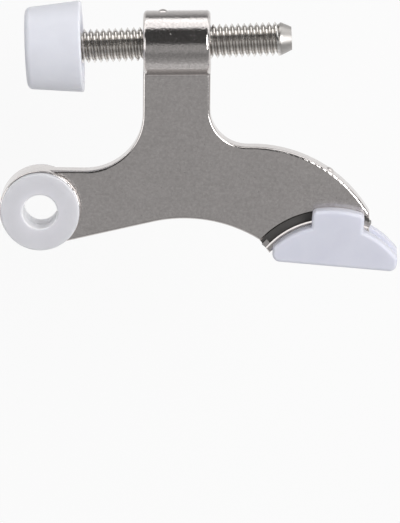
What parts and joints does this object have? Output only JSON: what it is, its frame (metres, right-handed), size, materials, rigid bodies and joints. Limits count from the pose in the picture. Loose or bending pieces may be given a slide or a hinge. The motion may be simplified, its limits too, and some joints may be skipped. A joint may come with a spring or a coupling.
{
  "type": "hinge pin door stop",
  "caption": "Cast arm that hangs on a door's hinge pin, with a threaded rod that carries a round wall bumper and a rocking shoe clipped to a curved rail.",
  "frame": {"origin": "centre of the hinge pin hole, half way through the eye", "axes": "+Z along the hinge pin, out of the face seen in the picture; +X from the eye to the shoe; +Y from the arm to the threaded rod"},
  "size_m": [0.0919, 0.0615, 0.021],
  "materials": {
    "satin_nickel": "satin nickel plate over a zinc casting",
    "bright_steel": "bright plated cut thread",
    "bush_nylon": "satin moulded nylon",
    "bumper_rubber": "satin moulded white rubber",
    "shoe_plastic": "satin moulded plastic"
  },
  "bodies": {
    "arm": {"arm_casting": "satin_nickel", "hinge_bush_front": "bush_nylon", "hinge_bush_rear": "bush_nylon"},
    "bumper": {"bumper": "bumper_rubber"},
    "rod": {"threaded_rod": "bright_steel"},
    "shoe": {"door_shoe": "shoe_plastic"}
  },
  "joints": [
    {"name": "bumper_travel", "type": "slide", "parent": "arm", "child": "bumper", "axis": [0.9986, 0.0523, 0], "range_m": [-0.0162, 0.013]},
    {"name": "rod_turn", "type": "hinge", "parent": "bumper", "child": "rod", "pos_m": [0.0312, 0.03935, 0], "axis": [0.9986, 0.0523, 0], "range_deg": [-4150, 3330]},
    {"name": "shoe_rock", "type": "hinge", "parent": "arm", "child": "shoe", "pos_m": [0.0672, -0.0212, 0], "axis": [0, 0, 1], "range_deg": [-2.4, 34]}
  ],
  "couplings": [
    {"joint": "rod_turn", "follows": "bumper_travel", "rad_per_m": 4452.7}
  ]
}
